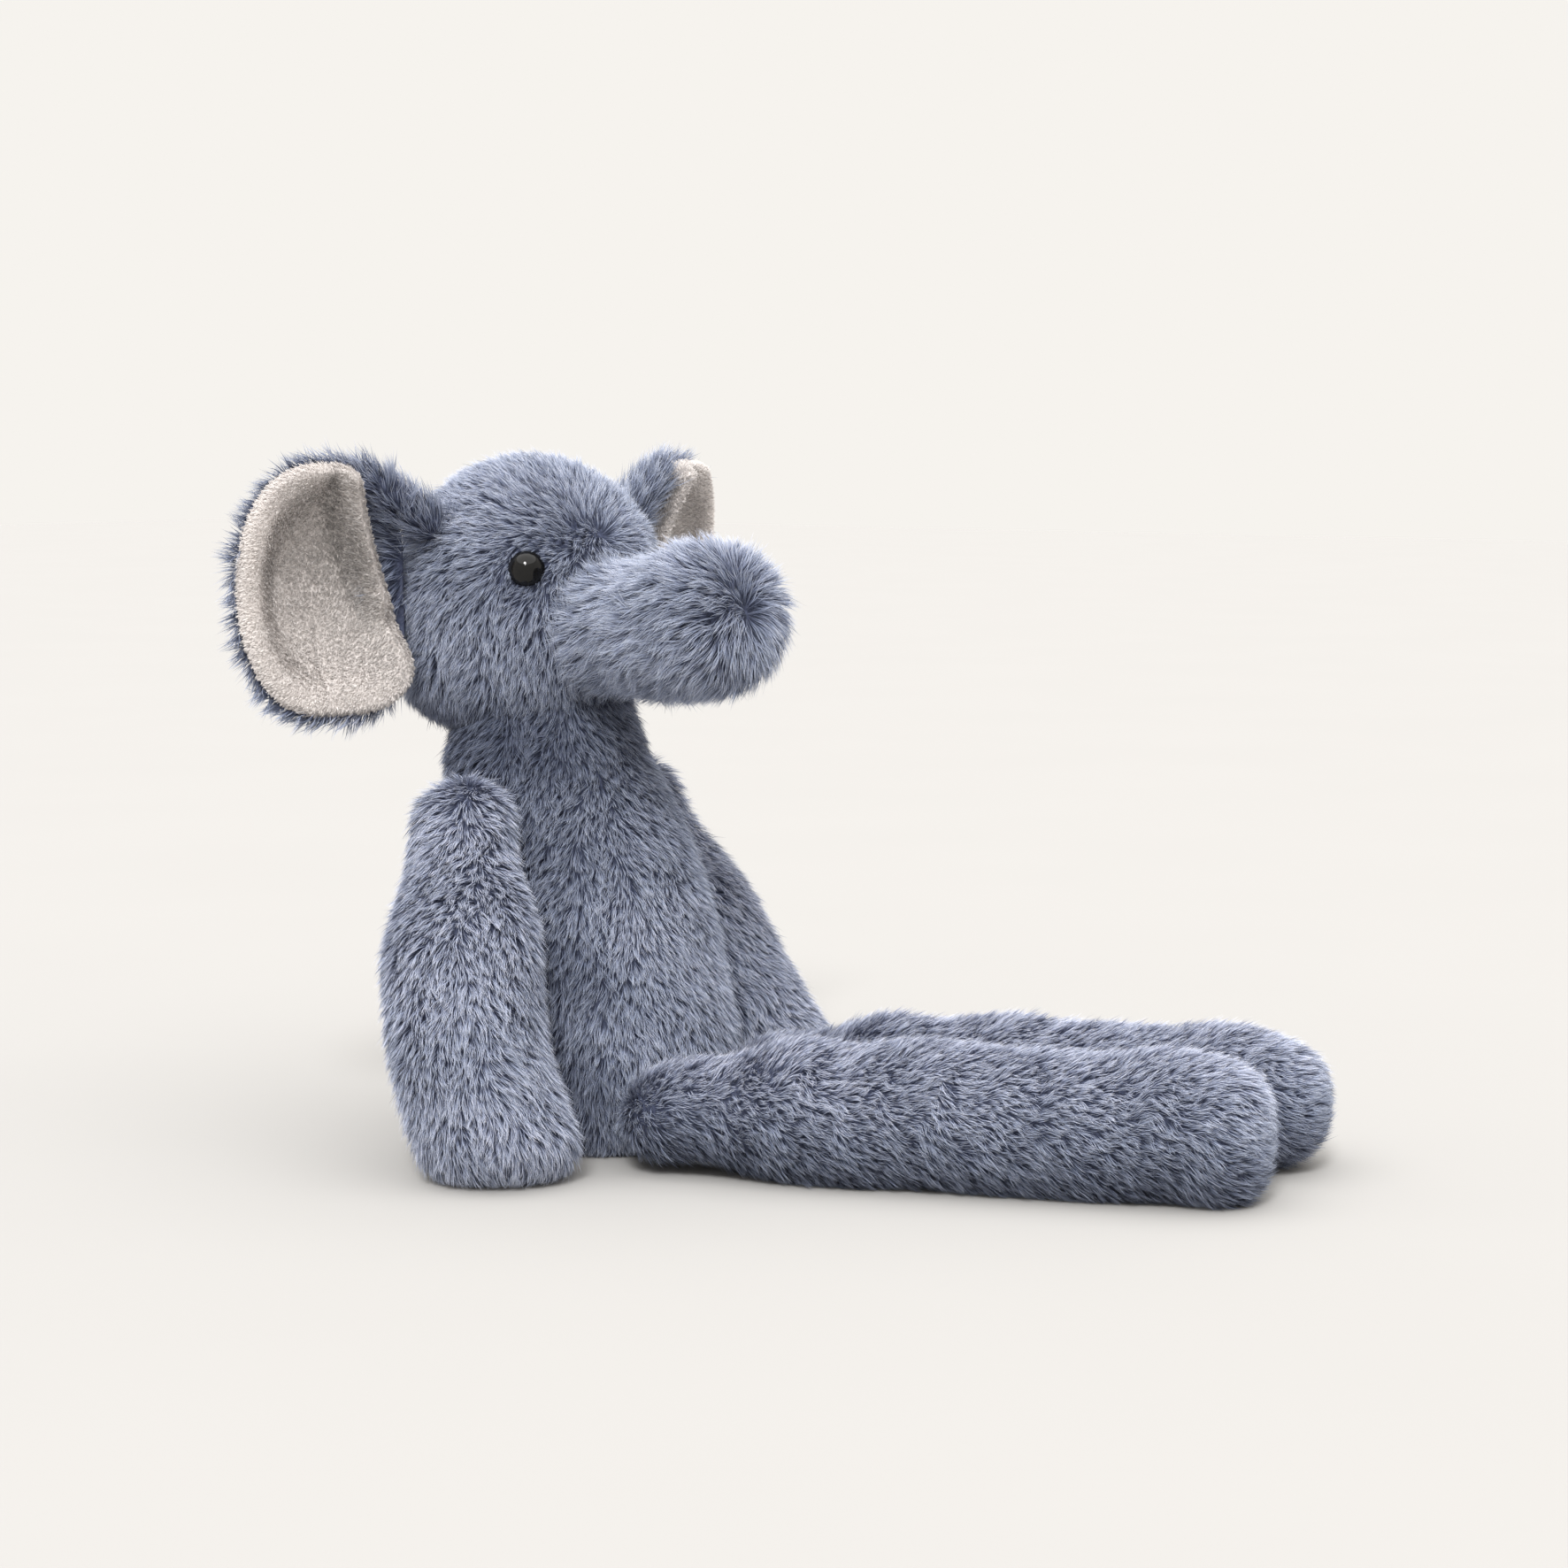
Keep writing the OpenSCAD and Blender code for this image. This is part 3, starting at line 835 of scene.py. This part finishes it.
def ear_lining(m, word, body, comb):
    """The velour lining: a cushioned sheet with a thin one close behind it, and its pile."""
    rows = 64
    lx, lz = lining_edge(EAR_ANGLES)
    grid = ear_sheet(lx, lz, -LINING_RAISE, rows)
    t = np.linspace(0.02, 1, rows)[:, None] + 0 * EAR_ANGLES
    grid[..., 1] -= lining_folds(grid[..., 0], grid[..., 2], t)
    tucked = smooth((t - 0.93) / 0.07)
    grid[..., 1] += 5.0 * tucked ** 2
    lining_skin = Skin(apply(m, grid), NO_FLOOR)
    if (lining_skin.n[20] @ (m[:3, :3] @ np.array([0, -1.0, 0]))).mean() < 0:
        lining_skin.n = -lining_skin.n
    under = grid[::-1].copy()
    under[..., 1] += LINING_T
    lining = skin_piece(f"{word}_ear_velour", apply(m, np.concatenate([grid, under])), LINING)
    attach(lining, body)
    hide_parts(f"{word}_ear_lining")

    def ribs(p):
        """The velour's pile stands in fine slanting ribs."""
        q = local(m, p)
        return 1 + 0.32 * np.sin((0.6 * q[:, 0] - 0.8 * q[:, 2]) * 2 * math.pi / RIB_PITCH)

    def lining_painted_shade(p, n):
        """Painted shade in the crease and the cup, which hold little light, and painted light on the roll.
        """
        q = local(m, p)
        x, z = q[:, 0], q[:, 2]
        inner = x - (6.4 + 0.34 * z)
        upper = smooth((z + 20) / 16) * smooth((44 - z) / 6)
        crease = np.exp(-((inner - 8.0) / 3.2) ** 2) * upper
        cup = np.exp(-((inner - 13) / 11) ** 2) * np.exp(-((z - 2) / 26) ** 2)
        lx, lz = lining_edge(np.arctan2(z, x - EAR_MID))
        rim = np.hypot(x - EAR_MID, z) / np.hypot(lx - EAR_MID, lz)
        return 0.22 * smooth((rim - 0.62) / 0.2) * smooth((x - 22) / 12) - 0.34 * crease - 0.20 * cup

    fur(f"{word}_ear_pile", "ear", lining_skin, comb, body, slot="lining", density=9.0, length=1.15,
        width=0.25, lift=42, tuft=0.8, rough=0.3, length_at=ribs, lighten=lining_painted_shade, pile=VELOUR)


def ear(side, word):
    """An ear's fur back, its fold beside the head and its velour lining."""
    m, body = ear_frame(side), f"{word}_ear"
    ex, ez = ear_edge(EAR_ANGLES, 3.0)
    edge = np.where(ex > EAR_MID, EAR_MID + (ex - EAR_MID) * 0.91, ex), np.where(ez < 0, ez * 1.03, ez)
    back = ear_sheet(*edge, EAR_BACK_T - 2.0, 34)
    front = ear_sheet(*edge, 0.8, 34)
    skin = Skin(apply(m, np.concatenate([back, front[::-1]])), NO_FLOOR)
    middle = m @ np.array([EAR_W / 2 + EAR_BALL_OUT, EAR_BALL_Y, 0, 1])
    if (skin.n[10] * (skin.p[10] - middle[:3])).sum() < 0:
        skin.n = -skin.n
    cloth = skin_piece(f"{word}_ear_skin", skin.p, BACKING)
    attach(cloth, body)
    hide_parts(f"{word}_ear_back")

    def comb(p, n, along):
        way = local(m, p) - np.array([-16.0, 0, 6.0])
        way[:, 1] = 0
        return way @ m[:3, :3].T

    def off_the_front(p):
        """The lining covers the front, all but its edge."""
        q = local(m, p)
        ex, ez = lining_edge(np.arctan2(q[:, 2], q[:, 0] - EAR_MID))
        reach = np.hypot(q[:, 0] - EAR_MID, q[:, 2]) / np.hypot(ex - EAR_MID, ez)
        return (q[:, 1] > ear_cup(q[:, 0], q[:, 2], 1.8)) | (reach > 0.97)

    fur(f"{word}_ear_fur", "ear", skin, comb, body, density=2.2, length=8.5, lift=16,
        keep=off_the_front, lighten=lit_from_above(0.06))

    ear_fold(m, word, body)
    ear_lining(m, word, body, comb)


for side, word in SIDES:
    ear(side, word)


# ---- pieces kept from the CAD ----

for node, finish in (("seat_pouch", POUCH), ("seat_pellets", PELLET), ("neck_seam", THREAD),
                     ("right_eye", EYE), ("left_eye", EYE),
                     ("right_eye_washer", WASHER), ("left_eye_washer", WASHER)):
    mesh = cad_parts[node].data
    mesh.materials.clear()
    mesh.materials.append(finish)


# ---- floor, light and camera ----


def stage_floor():
    m, nodes, links, shader = material("floor_paper", Roughness=0.9)
    shader.inputs["Specular IOR Level"].default_value = 0.0
    coords = nodes.new("ShaderNodeTexCoord")
    noise_tint(nodes, links, shader, coords.outputs["Object"], 6,
               (0.3, (0.428, 0.419, 0.409)), (0.7, (0.432, 0.423, 0.413)))
    side = 6000.0
    o = make("floor", [(-side, -side, 0), (side, -side, 0), (side, side, 0), (-side, side, 0)],
             [(0, 1, 2, 3)], m, False)


TOY_MIDDLE = Vector((0, -0.05, 0.1))


def light(name, kind, place, **settings):
    """A light at a place, aimed at the toy."""
    data = bpy.data.lights.new(name, kind)
    for key, value in settings.items():
        setattr(data, key, value)
    o = bpy.data.objects.new(name, data)
    o.location = place
    o.rotation_euler = (TOY_MIDDLE - Vector(place)).to_track_quat("-Z", "Y").to_euler()
    bpy.context.scene.collection.objects.link(o)


def studio():
    scene = bpy.context.scene
    world = bpy.data.worlds.new("studio")
    world.use_nodes = True
    sky = world.node_tree.nodes["Background"]
    sky.inputs["Color"].default_value = (0.922, 0.896, 0.855, 1)
    sky.inputs["Strength"].default_value = 1.0
    scene.world = world
    scene.view_settings.view_transform = "Standard"
    light("top_light", "SUN", (-0.25, -0.20, 2.0), energy=2.3, angle=math.radians(90))
    light("window_light", "SUN", (-1.79, -0.98, 2.1), energy=2.2, angle=math.radians(14))


def camera():
    """At the side and a little in front, seen from just above the head."""
    azimuth, pitch = math.radians(-54), math.radians(6.35)
    away, across, height = 1084.0, 57.7, 245.0
    data = bpy.data.cameras.new("camera")
    data.sensor_width, data.lens = 36.0, 72.33
    o = bpy.data.objects.new("camera", data)
    s, c = math.sin(azimuth), math.cos(azimuth)
    o.location = ((s * away + c * across) * MM, (-c * away + s * across) * MM, height * MM)
    o.rotation_euler = (math.pi / 2 - pitch, 0, azimuth)
    bpy.context.scene.collection.objects.link(o)
    bpy.context.scene.camera = o


stage_floor()
studio()
camera()
